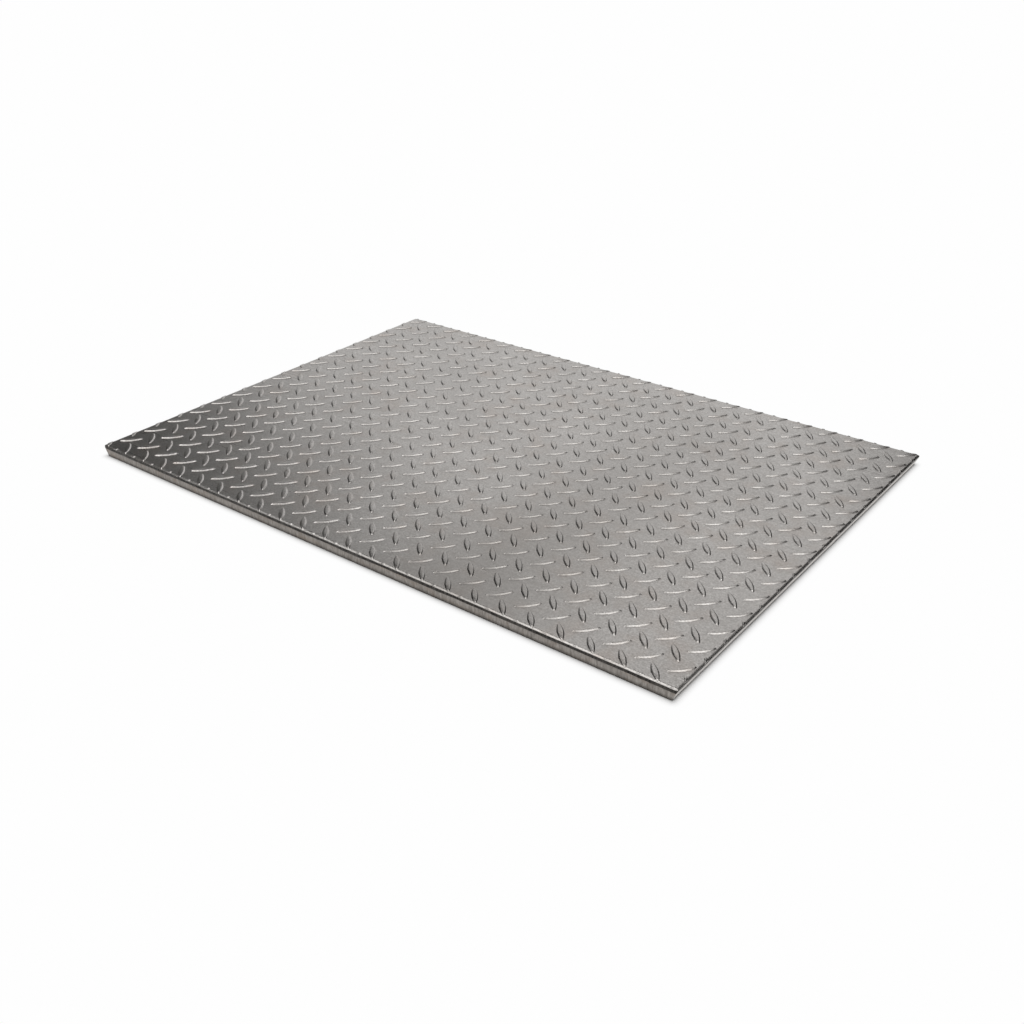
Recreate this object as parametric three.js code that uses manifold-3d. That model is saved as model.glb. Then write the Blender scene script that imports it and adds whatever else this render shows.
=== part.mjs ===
// A checker steel plate: one rolled mild steel plate with a raised tread on its top face, sheared to size.
// Millimetres, +Z up. X runs along the long sides and Y along the two ends.
// The origin is under the middle of the plate, on the ground that it lies on.
import * as THREE from "three";
import { ConvexGeometry } from "three/addons/geometries/ConvexGeometry.js";
import { mergeGeometries, mergeVertices } from "three/addons/utils/BufferGeometryUtils.js";
import Module from "manifold-3d";

// The rolled plate, not counting its tread.
const PLATE_LENGTH = 700;
const PLATE_WIDTH = 500;
const PLATE_THICKNESS = 12;

// The sheared edges, from the top down. The blade draws the corner over in a small roll and cuts an
// upright band, then the rest tears, and the torn face leans in under the plate.
const ROLL_WIDTH = 2.2;
const ROLL_DROP = 0.9;
const ROLL_STEPS = 3;
const CUT_DEPTH = 4; // from the top face to the foot of the upright band
const SIDE_LEAN = 0.2; // how far the foot of a long side stands in from its upright band
const END_LEAN = 4; // the same at the two ends, cut with a wider blade gap

// The tread: narrow pointed lugs. Half of them lean one way and half the other way, and each lug of one
// kind stands in the middle of four of the other kind.
const LUG_LENGTH = 25;
const LUG_WIDTH = 6.6;
const LUG_HEIGHT = 1;
const LUG_CREST = 21; // length of the level ridge on top
const LUG_ROOT = 1; // how far a lug is carried down into the plate
const LUG_TURN = THREE.MathUtils.degToRad(48); // between a lug and the long sides
const PITCH_X = 29.4; // between lugs of one kind, along the plate
const PITCH_Y = 31.1; // the same, across the plate
const FIRST_LUG_X = 13.2; // centre of the first whole lug, from the left end
const FIRST_LUG_Y = 25; // the same, from the front side

// A lug that an edge cuts through ends where the rolled corner starts, and is left out if less than this
// much of it would show.
const LEAST_LUG = 1;

const wasm = await Module();
wasm.setup();

// Turns a closed three.js shape into a solid that can be joined and cut.
function solidFrom(geometry) {
  const bare = geometry.clone();
  bare.deleteAttribute("normal");
  bare.deleteAttribute("uv");
  const shared = mergeVertices(bare);
  const mesh = new wasm.Mesh({
    numProp: 3,
    vertProperties: shared.getAttribute("position").array,
    triVerts: new Uint32Array(shared.index.array),
  });
  return new wasm.Manifold(mesh);
}

// Turns a solid back into a three.js shape.
function geometryFrom(solid) {
  const { vertProperties, triVerts } = solid.getMesh();
  const geometry = new THREE.BufferGeometry();
  geometry.setAttribute("position", new THREE.BufferAttribute(vertProperties, 3));
  geometry.setIndex(new THREE.BufferAttribute(triVerts, 1));
  geometry.computeVertexNormals();
  return geometry;
}

// The four corners of the plate's outline at one height, drawn in from the ends and from the long sides.
function outlineAt(height, inFromEnds, inFromSides) {
  const x = PLATE_LENGTH / 2 - inFromEnds;
  const y = PLATE_WIDTH / 2 - inFromSides;
  return [
    new THREE.Vector3(-x, -y, height),
    new THREE.Vector3(x, -y, height),
    new THREE.Vector3(x, y, height),
    new THREE.Vector3(-x, y, height),
  ];
}

// The plate without its tread: torn faces, upright bands, rolled corners and the flat top.
function plainPlate() {
  const points = [
    ...outlineAt(0, END_LEAN, SIDE_LEAN),
    ...outlineAt(PLATE_THICKNESS - CUT_DEPTH, 0, 0),
  ];
  for (let step = 0; step <= ROLL_STEPS; step += 1) {
    const turned = (Math.PI / 2) * (step / ROLL_STEPS);
    const inFromEdge = ROLL_WIDTH * (1 - Math.cos(turned));
    const height = PLATE_THICKNESS - ROLL_DROP * (1 - Math.sin(turned));
    points.push(...outlineAt(height, inFromEdge, inFromEdge));
  }
  return solidFrom(new ConvexGeometry(points));
}

// One lug along X, with its foot at z = 0: a pointed foot, a level crest and a root below the foot.
function lugShape() {
  const points = [
    new THREE.Vector3(-LUG_CREST / 2, 0, LUG_HEIGHT),
    new THREE.Vector3(LUG_CREST / 2, 0, LUG_HEIGHT),
  ];
  for (const height of [0, -LUG_ROOT]) {
    points.push(
      new THREE.Vector3(-LUG_LENGTH / 2, 0, height),
      new THREE.Vector3(LUG_LENGTH / 2, 0, height),
      new THREE.Vector3(0, -LUG_WIDTH / 2, height),
      new THREE.Vector3(0, LUG_WIDTH / 2, height),
    );
  }
  return new ConvexGeometry(points);
}

// The whole-number steps that put a lug between two opposite edges, or partly between them.
function stepsAcross(span, first, step, lugReach) {
  const leastIn = ROLL_WIDTH + LEAST_LUG - lugReach;
  const start = Math.ceil((leastIn - first) / step);
  const end = Math.floor((span - leastIn - first) / step);
  return Array.from({ length: end - start + 1 }, (_, index) => start + index);
}

// Every lug of the tread, cut off where the rolled corners start.
function tread() {
  const lug = lugShape();
  const reachX = (LUG_LENGTH / 2) * Math.cos(LUG_TURN);
  const reachY = (LUG_LENGTH / 2) * Math.sin(LUG_TURN);
  const stepX = PITCH_X / 2;
  const stepY = PITCH_Y / 2;
  const rows = stepsAcross(PLATE_WIDTH, FIRST_LUG_Y, stepY, reachY);
  const lugs = [];
  for (const column of stepsAcross(PLATE_LENGTH, FIRST_LUG_X, stepX, reachX)) {
    const turn = column % 2 === 0 ? LUG_TURN : -LUG_TURN;
    const x = FIRST_LUG_X + column * stepX - PLATE_LENGTH / 2;
    for (const row of rows.filter((each) => (each - column) % 2 === 0)) {
      const y = FIRST_LUG_Y + row * stepY - PLATE_WIDTH / 2;
      lugs.push(lug.clone().rotateZ(turn).translate(x, y, PLATE_THICKNESS));
    }
  }
  const fieldLength = PLATE_LENGTH - 2 * ROLL_WIDTH;
  const fieldWidth = PLATE_WIDTH - 2 * ROLL_WIDTH;
  const wellPastTop = 4 * PLATE_THICKNESS;
  const field = new THREE.BoxGeometry(fieldLength, fieldWidth, wellPastTop);
  return solidFrom(mergeGeometries(lugs)).intersect(solidFrom(field));
}

const millFinishSteel = new THREE.MeshStandardMaterial({
  color: 0x9a9894,
  roughness: 0.45,
  metalness: 1,
  flatShading: true,
});

const checkerPlate = new THREE.Mesh(geometryFrom(plainPlate().add(tread())), millFinishSteel);
checkerPlate.name = "checker_plate";

const part = new THREE.Group();
part.add(checkerPlate);

export default part;
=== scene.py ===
# A checker steel plate: hot rolled mild steel with a raised tread, sheared to size and lying on a pale floor.
# Metres, +Z up. X runs along the long sides and Y along the two ends, with the origin under the middle.
import math

import bpy
from mathutils import Euler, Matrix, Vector, noise


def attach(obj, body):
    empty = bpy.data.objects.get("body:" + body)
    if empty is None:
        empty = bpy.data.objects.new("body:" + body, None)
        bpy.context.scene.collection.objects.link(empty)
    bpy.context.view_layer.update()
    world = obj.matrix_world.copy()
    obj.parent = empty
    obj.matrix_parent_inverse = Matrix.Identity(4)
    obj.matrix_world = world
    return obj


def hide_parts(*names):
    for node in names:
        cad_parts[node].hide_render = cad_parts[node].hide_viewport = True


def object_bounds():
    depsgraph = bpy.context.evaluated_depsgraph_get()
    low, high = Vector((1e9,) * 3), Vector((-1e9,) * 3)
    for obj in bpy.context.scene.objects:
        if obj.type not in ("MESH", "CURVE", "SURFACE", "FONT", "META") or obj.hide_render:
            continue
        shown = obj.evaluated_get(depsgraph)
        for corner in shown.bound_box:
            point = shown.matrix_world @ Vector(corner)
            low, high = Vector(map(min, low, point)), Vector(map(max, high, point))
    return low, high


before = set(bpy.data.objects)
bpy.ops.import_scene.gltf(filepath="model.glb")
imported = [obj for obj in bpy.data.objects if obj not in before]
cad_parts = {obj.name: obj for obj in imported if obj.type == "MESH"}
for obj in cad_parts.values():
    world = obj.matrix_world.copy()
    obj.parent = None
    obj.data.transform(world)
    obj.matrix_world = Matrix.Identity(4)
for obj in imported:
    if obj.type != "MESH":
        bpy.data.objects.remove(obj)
cad_low, cad_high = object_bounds()
bpy.context.scene.view_settings.view_transform = "Standard"

MM = 0.001

# The tread's lugs. They are lens shaped, with a level crest, and their feet run out into the plate.
LUG_LENGTH = 25 * MM
LUG_WIDTH = 6.6 * MM
LUG_HEIGHT = 1.0 * MM
LUG_ROOT = 1.5 * MM  # how far a lug is carried down into the plate, to below the rolled corner
LUG_TURN = math.radians(48)  # between a lug and the long sides
LUG_NOSE = 1.7  # how much further a lug's ends draw in than its sides, from the foot up
PITCH_X = 29.4 * MM  # between lugs of one kind, along the plate
PITCH_Y = 31.1 * MM  # the same, across the plate
FIRST_LUG_X = 13.2 * MM  # centre of the first whole lug, from the left end
FIRST_LUG_Y = 25 * MM  # the same, from the front side
LUG_SETBACK = 0.3 * MM  # a lug that an edge cuts through ends this far inside the edge
LUG_DRAG = 5 * MM  # and over this length the blade has dragged it down, level with the rolled corner
LUG_WOBBLE = math.radians(0.5)  # a lug's lean may be out by this much either way
SEED = 7

# The plate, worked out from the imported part.
PLATE_LENGTH = cad_high.x - cad_low.x
PLATE_WIDTH = cad_high.y - cad_low.y
PLATE_THICKNESS = cad_high.z - cad_low.z - LUG_HEIGHT

# The sheared edges, from the top down: a rolled corner, an upright band that the blade cut and rubbed
# smooth, and a torn face that leans in under the plate and ends in a small broken corner.
# The rolled corner, from the band up, as how far it is in from the edge, and how far below the top face.
ROLL = [
    (0, 1.0 * MM),
    (0.1 * MM, 0.78 * MM),
    (0.5 * MM, 0.52 * MM),
    (1.6 * MM, 0.08 * MM),
    (2.2 * MM, 0),
]
CUT_DEPTH = 4 * MM  # from the top face to the foot of the band, at the long sides
END_CUT_DEPTH = 2 * MM  # the same at the two ends, cut with a wider blade gap
CUT_WAVE = 0.45 * MM  # how far the line under the upright band wanders up and down
CUT_WAVE_LENGTH = 22 * MM
TEAR_STEP = 0.15 * MM  # height of the step between the band and the torn face
SIDE_LEAN = 0.2 * MM  # how far the foot of a long side stands in from its band
END_LEAN = 4 * MM  # the same at the two ends
TEAR_STEPS = 5
TEAR_DEPTH = 0.3 * MM  # how deep the pits of the torn face are
TEAR_GRAIN = 3 * MM  # and how far apart
FOOT_BREAK = 0.2 * MM  # the broken corner at the foot
CORNER_RADIUS = 1.5 * MM
CORNER_STEPS = 4
EDGE_STEP = 2.5 * MM  # between the points along an edge

# The places of the plate's three surfaces in its list of materials.
ROLLED, CUT, TORN = 0, 1, 2

# How near a face is to the top face, or an edge is to lying in it, to count as part of it.
LEVEL = 0.9999  # the least upward share of its direction
TOUCH = 0.001 * MM
JUST_ABOVE = 0.01 * MM
SHARP_ANGLE = math.radians(38)


def linear(hex_colour):
    """An sRGB hex colour as linear red, green, blue and alpha."""
    parts = [int(hex_colour[i : i + 2], 16) / 255 for i in (1, 3, 5)]
    return [c / 12.92 if c <= 0.04045 else ((c + 0.055) / 1.055) ** 2.4 for c in parts] + [1]


def add(tree, kind, settings=None, **inputs):
    """Adds a node. Inputs are named by their socket, or inN for the Nth, and hold a value or an output."""
    node = tree.nodes.new(kind)
    for name, value in (settings or {}).items():
        setattr(node, name, value)
    for name, value in inputs.items():
        key = int(name[2:]) if name[2:].isdigit() else name.replace("_", " ")
        if isinstance(value, bpy.types.Node):
            value = value.outputs[0]
        if isinstance(value, bpy.types.NodeSocket):
            tree.links.new(value, node.inputs[key])
        else:
            node.inputs[key].default_value = value
    return node


def new_object(name, points, faces, materials=()):
    """A mesh object at the origin from its points, faces and materials."""
    mesh = bpy.data.meshes.new(name)
    mesh.from_pydata(points, [], faces)
    for material in materials:
        mesh.materials.append(material)
    made = bpy.data.objects.new(name, mesh)
    bpy.context.scene.collection.objects.link(made)
    return made


def finished_mesh(thing):
    """The mesh that an object's modifiers make."""
    return bpy.data.meshes.new_from_object(thing.evaluated_get(bpy.context.evaluated_depsgraph_get()))


# The camera.
CAMERA_PLACE = (673.0 * MM, -878.4 * MM, 548.2 * MM)
CAMERA_TURN = (61.09, 0.03, 37.24)
CAMERA_LENS = 40.97


def place_camera():
    """The camera, above the plate's front right corner and looking down across it."""
    data = bpy.data.cameras.new("camera")
    data.lens = CAMERA_LENS
    made = bpy.data.objects.new("camera", data)
    made.location = CAMERA_PLACE
    made.rotation_euler = Euler([math.radians(turn) for turn in CAMERA_TURN])
    bpy.context.scene.collection.objects.link(made)
    bpy.context.scene.camera = made


# The plate without its tread.
def outline(in_from_ends, in_from_sides):
    """The plate's outline from above, drawn in: (point, way out) pairs that run anticlockwise."""
    middle_x = PLATE_LENGTH / 2 - in_from_ends - CORNER_RADIUS
    middle_y = PLATE_WIDTH / 2 - in_from_sides - CORNER_RADIUS
    corners = [(middle_x, middle_y), (-middle_x, middle_y), (-middle_x, -middle_y), (middle_x, -middle_y)]
    spans = [(-2 * middle_x, 0, PLATE_LENGTH), (0, -2 * middle_y, PLATE_WIDTH)]
    spans += [(2 * middle_x, 0, PLATE_LENGTH), (0, 2 * middle_y, PLATE_WIDTH)]
    found = []
    for quarter, (corner, (run_x, run_y, side)) in enumerate(zip(corners, spans)):
        for step in range(CORNER_STEPS + 1):
            turn = math.radians(90) * (quarter + step / CORNER_STEPS)
            out = Vector((math.cos(turn), math.sin(turn), 0))
            found.append((Vector((*corner, 0)) + CORNER_RADIUS * out, out))
        start, out = found[-1]
        steps = round(side / EDGE_STEP)
        found += [(start + Vector((run_x, run_y, 0)) * (step / steps), out) for step in range(1, steps)]
    return found


def edge_ring(height, in_from_ends, in_from_sides, wave=0.0, pits=0.0, end_lift=0.0):
    """One ring of points round the plate. It may wander up and down, stand higher at the ends, and be
    pitted inwards."""
    ring = []
    for point, out in outline(in_from_ends, in_from_sides):
        spot = (point + Vector((0, 0, height))) / TEAR_GRAIN
        lift = wave * (noise.noise(point / CUT_WAVE_LENGTH) + 0.4 * noise.noise(spot))
        lift += end_lift * out.x**2
        deep = pits * max(0, 0.5 + 0.5 * noise.noise(spot) + 0.3 * noise.noise(spot * 2.7))
        ring.append(point - out * deep + Vector((0, 0, height + lift)))
    return ring


def plain_plate(materials):
    """The closed plate, as rings of points from the foot up, with the underside and the top face."""
    cut_foot = PLATE_THICKNESS - CUT_DEPTH
    rings = [edge_ring(0, END_LEAN + FOOT_BREAK, SIDE_LEAN + FOOT_BREAK)]
    surfaces = []
    for step in range(TEAR_STEPS + 1):
        height = FOOT_BREAK + (cut_foot - FOOT_BREAK) * step / TEAR_STEPS
        lean = 1 - height / cut_foot
        wave = CUT_WAVE if step == TEAR_STEPS else 0
        end_lift = (CUT_DEPTH - END_CUT_DEPTH) * step / TEAR_STEPS
        rings.append(edge_ring(height, END_LEAN * lean, SIDE_LEAN * lean, wave, TEAR_DEPTH, end_lift))
        surfaces.append(TORN)
    rings.append(edge_ring(cut_foot + TEAR_STEP, 0, 0, CUT_WAVE, 0, CUT_DEPTH - END_CUT_DEPTH))
    surfaces.append(TORN)
    for step, (drawn_in, drop) in enumerate(ROLL):
        rings.append(edge_ring(PLATE_THICKNESS - drop, drawn_in, drawn_in))
        surfaces.append(ROLLED if step else CUT)

    count = len(rings[0])
    faces, made_of = [list(reversed(range(count)))], [ROLLED]
    for row, surface in enumerate(surfaces):
        low, high = row * count, (row + 1) * count
        faces += [[low + i, low + (i + 1) % count, high + (i + 1) % count, high + i] for i in range(count)]
        made_of += [surface] * count
    faces.append(list(range((len(rings) - 1) * count, len(rings) * count)))
    made_of.append(ROLLED)
    made = new_object("tread_plate", [point for ring in rings for point in ring], faces, materials)
    made.data.polygons.foreach_set("material_index", made_of)
    return made


# Half of a lug's foot, from one end to the other, in shares of its half length and half width.
LUG_OUTLINE = [(1, 0.15), (0.94, 0.34), (0.76, 0.56), (0.42, 0.83), (0, 1)]
LUG_OUTLINE += [(-0.42, 0.83), (-0.76, 0.56), (-0.94, 0.34), (-1, 0.15)]

# A lug's section, from the root up, as how far it is drawn in from the foot, and its height.
LUG_SECTION = [
    (0, -LUG_ROOT),
    (0, -0.02 * MM),
    (0.3 * MM, 0.08 * MM),
    (1.0 * MM, 0.84 * MM),
    (1.35 * MM, 0.97 * MM),
    (1.9 * MM, LUG_HEIGHT),
]


def lug():
    """One lug, along X, with its foot at z = 0."""
    sides = LUG_OUTLINE + [(-x, -y) for x, y in LUG_OUTLINE]
    count = len(sides)
    points = []
    for inset, height in LUG_SECTION:
        half_length = LUG_LENGTH / 2 - LUG_NOSE * inset
        half_width = LUG_WIDTH / 2 - inset
        points += [(x * half_length, y * half_width, height) for x, y in sides]
    faces = [list(reversed(range(count)))]
    for ring in range(len(LUG_SECTION) - 1):
        low, high = ring * count, (ring + 1) * count
        for i in range(count):
            j = (i + 1) % count
            faces.append([low + i, low + j, high + j, high + i])
    faces.append([(len(LUG_SECTION) - 1) * count + i for i in range(count)])
    return new_object("lug", points, faces)


def lug_field(steel):
    """The prism that lugs are cut off at, which is the plate's outline drawn in a little."""
    ring = [point for point, _ in outline(LUG_SETBACK, LUG_SETBACK)]
    count = len(ring)
    points = [point + Vector((0, 0, height)) for height in (0, 2 * PLATE_THICKNESS) for point in ring]
    faces = [list(reversed(range(count))), list(range(count, 2 * count))]
    faces += [[i, (i + 1) % count, count + (i + 1) % count, count + i] for i in range(count)]
    return new_object("lug_field", points, faces, [steel])


def tread_tree():
    """A field of lugs. Half of them lean one way, and each stands between four that lean the other way."""
    tree = bpy.data.node_groups.new("tread", "GeometryNodeTree")
    for name, kind in {
        "Lug": "NodeSocketObject",
        "Steel": "NodeSocketMaterial",
        "Columns": "NodeSocketInt",
        "Rows": "NodeSocketInt",
        "First spot": "NodeSocketVector",
        "Pitch along": "NodeSocketFloat",
        "Pitch across": "NodeSocketFloat",
        "Turn": "NodeSocketFloat",
        "Wobble": "NodeSocketFloat",
        "Seed": "NodeSocketInt",
    }.items():
        tree.interface.new_socket(name, in_out="INPUT", socket_type=kind)
    tree.interface.new_socket("Geometry", in_out="OUTPUT", socket_type="NodeSocketGeometry")
    given = tree.nodes.new("NodeGroupInput").outputs

    def maths(operation, first, second=0.0):
        return add(tree, "ShaderNodeMath", {"operation": operation}, in0=first, in1=second)

    # Spots stand half a pitch apart both ways, numbered along one column after another.
    index = add(tree, "GeometryNodeInputIndex")
    column = maths("FLOOR", maths("DIVIDE", index, given["Rows"]))
    row = maths("MODULO", index, given["Rows"])
    step = add(
        tree,
        "ShaderNodeCombineXYZ",
        X=maths("MULTIPLY", column, maths("MULTIPLY", given["Pitch along"], 0.5)),
        Y=maths("MULTIPLY", row, maths("MULTIPLY", given["Pitch across"], 0.5)),
    )
    place = add(tree, "ShaderNodeVectorMath", {"operation": "ADD"}, in0=given["First spot"], in1=step)
    count = maths("MULTIPLY", given["Columns"], given["Rows"])
    spots = add(tree, "GeometryNodePoints", Count=count, Position=place)

    # A spot holds a lug where its column and row are both even or both odd. The column says how it leans.
    odd_column = maths("MODULO", column, 2.0)
    holds_lug = maths("SUBTRACT", 1.0, maths("MODULO", maths("ADD", column, row), 2.0))
    leans = maths("MULTIPLY", given["Turn"], maths("SUBTRACT", 1.0, maths("MULTIPLY", odd_column, 2.0)))
    wobble = add(
        tree,
        "FunctionNodeRandomValue",
        {"data_type": "FLOAT"},
        in2=maths("MULTIPLY", given["Wobble"], -1.0),
        in3=given["Wobble"],
        in8=given["Seed"],
    )
    turned = add(tree, "ShaderNodeCombineXYZ", Z=maths("ADD", leans, wobble.outputs[1]))
    lugs = add(
        tree,
        "GeometryNodeInstanceOnPoints",
        Points=spots,
        Selection=holds_lug,
        Instance=add(tree, "GeometryNodeObjectInfo", Object=given["Lug"]).outputs["Geometry"],
        Rotation=add(tree, "FunctionNodeEulerToRotation", Euler=turned),
    )
    real = add(tree, "GeometryNodeRealizeInstances", Geometry=lugs)
    steel = add(tree, "GeometryNodeSetMaterial", Geometry=real, Material=given["Steel"])
    add(tree, "NodeGroupOutput", in0=steel)
    return tree


def first_step(first, pitch):
    """The number of half pitches from the first whole lug back to the first spot outside the plate."""
    return 2 * math.ceil((LUG_LENGTH / 2 + first) / pitch)


def tread(steel):
    """Lugs all over the plate and a little past it, as one mesh."""
    back_x = first_step(FIRST_LUG_X, PITCH_X)
    back_y = first_step(FIRST_LUG_Y, PITCH_Y)
    values = {
        "Lug": lug(),
        "Steel": steel,
        "Columns": 2 * math.ceil((PLATE_LENGTH + LUG_LENGTH) / PITCH_X) + back_x,
        "Rows": 2 * math.ceil((PLATE_WIDTH + LUG_LENGTH) / PITCH_Y) + back_y,
        "First spot": (
            FIRST_LUG_X - back_x * PITCH_X / 2 - PLATE_LENGTH / 2,
            FIRST_LUG_Y - back_y * PITCH_Y / 2 - PLATE_WIDTH / 2,
            PLATE_THICKNESS,
        ),
        "Pitch along": PITCH_X,
        "Pitch across": PITCH_Y,
        "Turn": LUG_TURN,
        "Wobble": LUG_WOBBLE,
        "Seed": SEED,
    }
    made = new_object("tread", [], [])
    modifier = made.modifiers.new("tread", "NODES")
    modifier.node_group = tread_tree()
    for item in modifier.node_group.interface.items_tree:
        if item.in_out == "INPUT":
            modifier[item.identifier] = values[item.name]
    made.data = finished_mesh(made)
    made.modifiers.clear()
    bpy.data.objects.remove(values["Lug"])
    return made


def joined(thing, operation, other):
    """Joins another closed shape to a closed shape, or cuts one to the other."""
    modifier = thing.modifiers.new(operation, "BOOLEAN")
    modifier.operation = operation
    modifier.object = other
    modifier.solver = "MANIFOLD"
    thing.data = finished_mesh(thing)
    thing.modifiers.clear()
    bpy.data.objects.remove(other)


def mark_sharp_edges(mesh):
    """Smooth shading, but with a crisp line round the flat top, and round the foot of each lug on it."""
    mesh.shade_smooth()
    mesh.set_sharp_from_angle(angle=SHARP_ANGLE)
    on_top, faces_by = [0] * len(mesh.edges), [0] * len(mesh.edges)
    for face in mesh.polygons:
        flat = face.normal.z > LEVEL and abs(face.center.z - PLATE_THICKNESS) < TOUCH
        for corner in face.loop_indices:
            edge = mesh.loops[corner].edge_index
            on_top[edge] += flat
            faces_by[edge] += 1
    for edge in mesh.edges:
        above = min(mesh.vertices[i].co.z for i in edge.vertices) - PLATE_THICKNESS
        if above > JUST_ABOVE:
            edge.use_edge_sharp = False
        elif 0 < on_top[edge.index] < faces_by[edge.index]:
            edge.use_edge_sharp = True


def drag_down(lugs):
    """Bends the lugs down where they come to an edge, as the blade does."""
    for vertex in lugs.vertices:
        x, y, z = vertex.co
        from_edge = min(PLATE_LENGTH / 2 - abs(x), PLATE_WIDTH / 2 - abs(y))
        near = max(0, 1 - from_edge / LUG_DRAG)
        vertex.co.z = z - LUG_HEIGHT * near**2


def tread_plate(materials):
    """The finished plate: one closed shape, with the lugs cut off at its edges and joined on."""
    lugs = tread(materials[ROLLED])
    joined(lugs, "INTERSECT", lug_field(materials[ROLLED]))
    drag_down(lugs.data)
    plate = plain_plate(materials)
    joined(plate, "UNION", lugs)
    # The join leaves an empty place at the end of the plate's materials.
    while len(plate.data.materials) > len(materials):
        plate.data.materials.pop()
    mark_sharp_edges(plate.data)
    return plate


# The finishes. Sizes of grain and streaks are in metres here, as everything else is.
def bare_steel(name, roughness):
    """A metal material with nothing on it yet, as its node tree and its shader."""
    material = bpy.data.materials.new(name)
    material.use_nodes = True
    shader = material.node_tree.nodes["Principled BSDF"]
    shader.inputs["Metallic"].default_value = 1.0
    shader.inputs["Roughness"].default_value = roughness
    return material, material.node_tree, shader


def grain(tree, size, detail=2.0, offset=0.0):
    """A cloudy pattern from 0 to 1. Its size along X, Y and Z says how it is drawn out, and its offset
    keeps it from lining up with another."""
    spot = add(tree, "ShaderNodeTexCoord").outputs["Object"]
    finer = [1 / length for length in size]
    shift = (offset, offset, offset)
    spot = add(tree, "ShaderNodeVectorMath", {"operation": "MULTIPLY_ADD"}, in0=spot, in1=finer, in2=shift)
    return add(tree, "ShaderNodeTexNoise", Vector=spot, Scale=1.0, Detail=detail).outputs["Fac"]


def spread(tree, value, low, high, to_low=0.0, to_high=1.0):
    """Stretches a pattern's range from low to high onto another, and cuts it off outside."""
    return add(
        tree,
        "ShaderNodeMapRange",
        Value=value,
        From_Min=low,
        From_Max=high,
        To_Min=to_low,
        To_Max=to_high,
    ).outputs["Result"]


def tinted(tree, share, colour, other):
    """A colour or pattern, with a share of another laid over it."""
    mix = add(tree, "ShaderNodeMix", {"data_type": "RGBA"}, Factor=share)
    for socket, value in ((mix.inputs[6], colour), (mix.inputs[7], other)):
        if isinstance(value, str):
            socket.default_value = linear(value)
        else:
            tree.links.new(value, socket)
    return mix.outputs[2]


# Hot rolled mild steel with its scale taken off. To the eye it is a middle grey metal with broad soft
# highlights. It has a fine peppery grit, faint streaks along the way it was rolled, slow clouds of lighter
# and darker grey, and a thin brown haze in places. A broad darker band, darkest towards the front, crosses it
# near the middle.
GRIT = 1.4 * MM  # drawn coarser than the real grit, so that it shows
STREAK_LENGTH, STREAK_WIDTH = 70 * MM, 2 * MM
CLOUD = 90 * MM
HAZE = 26 * MM
GRIT_HEIGHT = 0.03 * MM
DARK_BAND_X, DARK_BAND_HALF = 136 * MM, 150 * MM  # its middle, and how far it reaches either way


def rolled_mild_steel():
    material, tree, shader = bare_steel("rolled_mild_steel", 0.31)
    grit = grain(tree, (GRIT, GRIT, GRIT), 3.0)
    streaks = grain(tree, (STREAK_LENGTH, STREAK_WIDTH, STREAK_WIDTH), 3.0, 3.0)
    clouds = grain(tree, (CLOUD, CLOUD, CLOUD), 3.0, 7.0)
    haze = grain(tree, (HAZE, HAZE, HAZE), 4.0, 11.0)
    colour = tinted(tree, spread(tree, clouds, 0.3, 0.7), "#A8A5A2", "#B2AFAC")
    colour = tinted(tree, spread(tree, streaks, 0.35, 0.7, 0.0, 0.35), colour, "#9C9894")
    colour = tinted(tree, spread(tree, grit, 0.48, 0.7, 0.0, 0.5), colour, "#827E7A")
    colour = tinted(tree, spread(tree, grit, 0.48, 0.3, 0.0, 0.5), colour, "#CCC9C6")
    colour = tinted(tree, spread(tree, haze, 0.5, 0.8, 0.0, 0.3), colour, "#A08F82")

    spot = add(tree, "ShaderNodeSeparateXYZ", in0=add(tree, "ShaderNodeTexCoord").outputs["Object"])
    along = add(tree, "ShaderNodeMath", {"operation": "SUBTRACT"}, in0=spot.outputs["X"], in1=DARK_BAND_X)
    along = add(tree, "ShaderNodeMath", {"operation": "ABSOLUTE"}, in0=along)
    band = add(
        tree,
        "ShaderNodeMapRange",
        {"interpolation_type": "SMOOTHSTEP"},
        Value=along,
        From_Min=DARK_BAND_HALF,
        From_Max=0.0,
    )
    to_front = spread(tree, spot.outputs["Y"], PLATE_WIDTH / 2, -PLATE_WIDTH / 2, 0.0, 0.5)
    darkening = add(tree, "ShaderNodeMath", {"operation": "MULTIPLY"}, in0=band, in1=to_front)
    colour = tinted(tree, darkening.outputs[0], colour, "#7E7A76")
    tree.links.new(colour, shader.inputs["Base Color"])

    worn = spread(tree, streaks, 0.3, 0.7, 0.27, 0.35)
    tree.links.new(worn, shader.inputs["Roughness"])
    bump = add(tree, "ShaderNodeBump", Height=grit, Distance=GRIT_HEIGHT, Strength=0.5)
    tree.links.new(bump.outputs["Normal"], shader.inputs["Normal"])
    return material


# The band that the blade cut and rubbed. It is smooth, with fine upright scores, and its near-black colour is
# a painted dark reflection of the surroundings that the smooth band mirrors.
SCORE_WIDTH, SCORE_LENGTH = 1.5 * MM, 9 * MM
RUBBED_PATCH = 9 * MM


def sheared_band_steel():
    material, tree, shader = bare_steel("sheared_band_steel", 0.33)
    scores = grain(tree, (SCORE_WIDTH, SCORE_WIDTH, SCORE_LENGTH), 2.0)
    patches = grain(tree, (RUBBED_PATCH, RUBBED_PATCH, RUBBED_PATCH), 2.0, 5.0)
    # Painted dark reflection: the band is coloured near black, not in the bright grey of rubbed steel.
    colour = tinted(tree, spread(tree, scores, 0.35, 0.7), "#262423", "#494643")
    colour = tinted(tree, spread(tree, patches, 0.5, 0.75, 0.0, 0.6), colour, "#54504C")
    tree.links.new(colour, shader.inputs["Base Color"])
    return material
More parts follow.
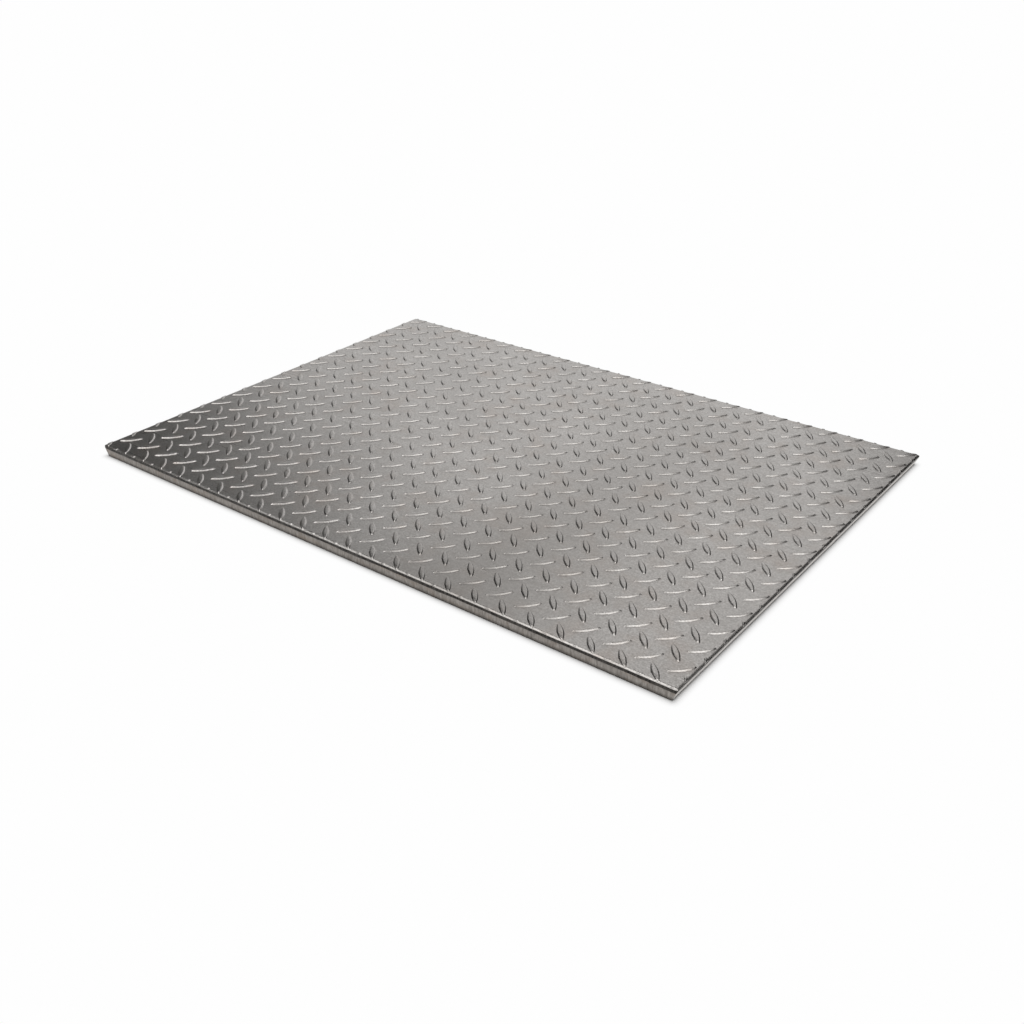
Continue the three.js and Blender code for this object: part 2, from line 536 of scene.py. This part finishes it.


# The face that tore. It is matt and grainy, warm grey with rust brown in its hollows and upright streaks,
# and darkened along its foot by painted contact shadow. At the two ends it is painted much lighter, a painted
# reflection of the pale floor below the leaning end faces.
TEAR_STREAK_WIDTH, TEAR_STREAK_LENGTH = 1.8 * MM, 7 * MM
STAIN_WIDTH, STAIN_HEIGHT = 14 * MM, 5 * MM
TEAR_RELIEF = 0.25 * MM
FOOT_PAINTED_SHADOW = 3.5 * MM  # how far up from the foot the painted contact shadow fades out


def torn_face_steel():
    material, tree, shader = bare_steel("torn_face_steel", 0.5)
    streaks = grain(tree, (TEAR_STREAK_WIDTH, TEAR_STREAK_WIDTH, TEAR_STREAK_LENGTH), 3.0)
    stains = grain(tree, (STAIN_WIDTH, STAIN_WIDTH, STAIN_HEIGHT), 3.0, 9.0)
    colour = tinted(tree, spread(tree, streaks, 0.3, 0.7), "#7D7873", "#A39E99")
    colour = tinted(tree, spread(tree, stains, 0.48, 0.72, 0.0, 0.45), colour, "#8A7B6E")
    place = add(tree, "ShaderNodeTexCoord").outputs
    way_out = add(tree, "ShaderNodeSeparateXYZ", in0=place["Normal"])
    end_painted_reflection = add(tree, "ShaderNodeMath", {"operation": "ABSOLUTE"}, in0=way_out.outputs["X"])
    # Painted reflection: faces that turn towards the two ends are painted much lighter, standing in for the
    # pale floor they mirror.
    colour = tinted(tree, spread(tree, end_painted_reflection, 0.6, 0.9, 0.0, 0.8), colour, "#DEDAD6")
    height = add(tree, "ShaderNodeSeparateXYZ", in0=place["Object"]).outputs["Z"]
    # Painted contact shadow: the colour goes near black towards the foot.
    colour = tinted(tree, spread(tree, height, FOOT_PAINTED_SHADOW, 0.0, 0.0, 0.75), colour, "#2B2724")
    tree.links.new(colour, shader.inputs["Base Color"])
    bump = add(tree, "ShaderNodeBump", Height=streaks, Distance=TEAR_RELIEF, Strength=0.7)
    tree.links.new(bump.outputs["Normal"], shader.inputs["Normal"])
    return material


# The floor and the light.
FLOOR_SPAN = 24.0
FLOOR_DROP = 0.05 * MM  # it lies this far under the plate's foot, so that the two don't share a plane
SHADOW_REACH = 9 * MM  # from the plate
ROOM_LIGHT = 0.4
BACKDROP_LIGHT = 1.0

# Softboxes that only show as sheen in the steel: name, place, size and watts. They face straight down.
SHEENS = [
    ("right_sheen", (2.02, -0.85, 2.3), (2.26, 2.7), 28),
    ("middle_sheen", (0.3, 0.33, 2.3), (1.4, 0.84), 5),
    ("left_sheen", (-1.3, -1.0, 2.3), (1.7, 2.8), 21),
]

# The softbox that lights the plate and floor, and leaves no sheen.
FILL_PLACE, FILL_SIZE, FILL_POWER = (0, 0, 2.4), (2.4, 2.4), 30

# Boards that darken the steel's sheen: to the left, to the right, behind and overhead at the back.
DARK_BOARDS = [
    [(-2.75, -3.0, 0), (-2.75, 1.08, 0), (-2.75, 3.09, 3.4), (-2.75, -3.0, 3.4)],
    [(2.75, -0.2, 0), (2.75, 2.75, 0), (2.75, 2.75, 4.2), (2.75, -0.2, 4.2)],
    [(-0.68, 2.75, 0), (2.75, 2.75, 0), (2.75, 2.75, 3.4), (0.31, 2.75, 3.4)],
    [(-2.2, 0.8, 2.4), (2.2, 0.8, 2.4), (2.2, 1.6, 2.4), (-2.2, 1.6, 2.4)],
]

# A paler board overhead, between the right and left softboxes.
PALE_BOARDS = [[(-0.45, -2.9, 2.4), (0.8, -2.9, 2.4), (0.6, -0.8, 2.4), (-0.45, -0.8, 2.4)]]


def seen_plainly(tree):
    """1 for what the camera sees straight on or in metal or glass, and 0 for the light that lights things."""
    path = add(tree, "ShaderNodeLightPath").outputs
    seen = path["Is Camera Ray"]
    for other in ("Is Glossy Ray", "Is Transmission Ray"):
        seen = add(tree, "ShaderNodeMath", {"operation": "MAXIMUM"}, in0=seen, in1=path[other])
    return seen


def studio_floor():
    """White paper. To the camera it is plain white, but for the shadow close round the plate's foot."""
    half = FLOOR_SPAN / 2
    material = bpy.data.materials.new("floor_paper")
    material.use_nodes = True
    tree = material.node_tree
    tree.nodes.clear()
    paper = add(tree, "ShaderNodeBsdfDiffuse", Color=linear("#F2F2F2"))
    spot = add(tree, "ShaderNodeTexCoord").outputs["Object"]
    spot = add(tree, "ShaderNodeVectorMath", {"operation": "ABSOLUTE"}, in0=spot)
    foot = (PLATE_LENGTH / 2 - END_LEAN, PLATE_WIDTH / 2 - SIDE_LEAN, 0)
    spot = add(tree, "ShaderNodeVectorMath", {"operation": "SUBTRACT"}, in0=spot, in1=foot)
    spot = add(tree, "ShaderNodeVectorMath", {"operation": "MAXIMUM"}, in0=spot, in1=(0, 0, 0))
    away = add(tree, "ShaderNodeVectorMath", {"operation": "LENGTH"}, in0=spot).outputs["Value"]
    near = spread(tree, away, 0.0, SHADOW_REACH, 1.0, 0.0)
    shade = add(tree, "ShaderNodeMath", {"operation": "MULTIPLY"}, in0=near, in1=near)
    clear = add(tree, "ShaderNodeMath", {"operation": "SUBTRACT"}, in0=1.0, in1=shade)
    white = add(tree, "ShaderNodeMath", {"operation": "MULTIPLY"}, in0=clear, in1=seen_plainly(tree))
    glow = add(tree, "ShaderNodeEmission", Color=linear("#FEFEFE"), Strength=1.0)
    mixed = add(tree, "ShaderNodeMixShader", in0=white, in1=paper, in2=glow)
    add(tree, "ShaderNodeOutputMaterial", Surface=mixed)
    corners = [(-half, -half, 0), (half, -half, 0), (half, half, 0), (-half, half, 0)]
    floor = new_object("floor", corners, [[0, 1, 2, 3]], [material])
    floor.location.z = -FLOOR_DROP


def studio_world():
    """An even white room, dimmer as light than as what the camera and the steel see."""
    world = bpy.data.worlds.new("studio")
    bpy.context.scene.world = world
    world.use_nodes = True
    tree = world.node_tree
    tree.nodes.clear()
    room = add(tree, "ShaderNodeBackground", Color=(1, 1, 1, 1), Strength=ROOM_LIGHT)
    backdrop = add(tree, "ShaderNodeBackground", Color=(1, 1, 1, 1), Strength=BACKDROP_LIGHT)
    mixed = add(tree, "ShaderNodeMixShader", in0=seen_plainly(tree), in1=room, in2=backdrop)
    add(tree, "ShaderNodeOutputWorld", Surface=mixed)


def softbox(name, place, aim, size, power):
    """A flat rectangular lamp, turned to face a point."""
    data = bpy.data.lights.new(name, "AREA")
    data.shape = "RECTANGLE"
    data.size, data.size_y = size
    data.energy = power
    made = bpy.data.objects.new(name, data)
    made.location = place
    made.rotation_euler = (Vector(aim) - Vector(place)).to_track_quat("-Z", "Y").to_euler()
    bpy.context.scene.collection.objects.link(made)
    return made


def flags(name, boards, colour):
    """Boards outside the picture, which only show as reflections."""
    points = [corner for board in boards for corner in board]
    made = new_object(name, points, [[4 * i, 4 * i + 1, 4 * i + 2, 4 * i + 3] for i in range(len(boards))])
    material = bpy.data.materials.new(name)
    material.use_nodes = True
    shader = material.node_tree.nodes["Principled BSDF"]
    shader.inputs["Base Color"].default_value = linear(colour)
    shader.inputs["Roughness"].default_value = 1.0
    shader.inputs["Specular IOR Level"].default_value = 0.0
    made.data.materials.append(material)
    made.visible_camera = False
    made.visible_diffuse = False
    made.visible_shadow = False


place_camera()
plate = tread_plate([rolled_mild_steel(), sheared_band_steel(), torn_face_steel()])
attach(plate, "root")
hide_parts("checker_plate")
studio_floor()
studio_world()
for name, place, size, power in SHEENS:
    softbox(name, place, (place[0], place[1], 0), size, power).visible_diffuse = False
softbox("fill", FILL_PLACE, (0, 0, 0), FILL_SIZE, FILL_POWER).visible_glossy = False
flags("black_flags", DARK_BOARDS, "#404040")
flags("grey_flag", PALE_BOARDS, "#B8B8B8")
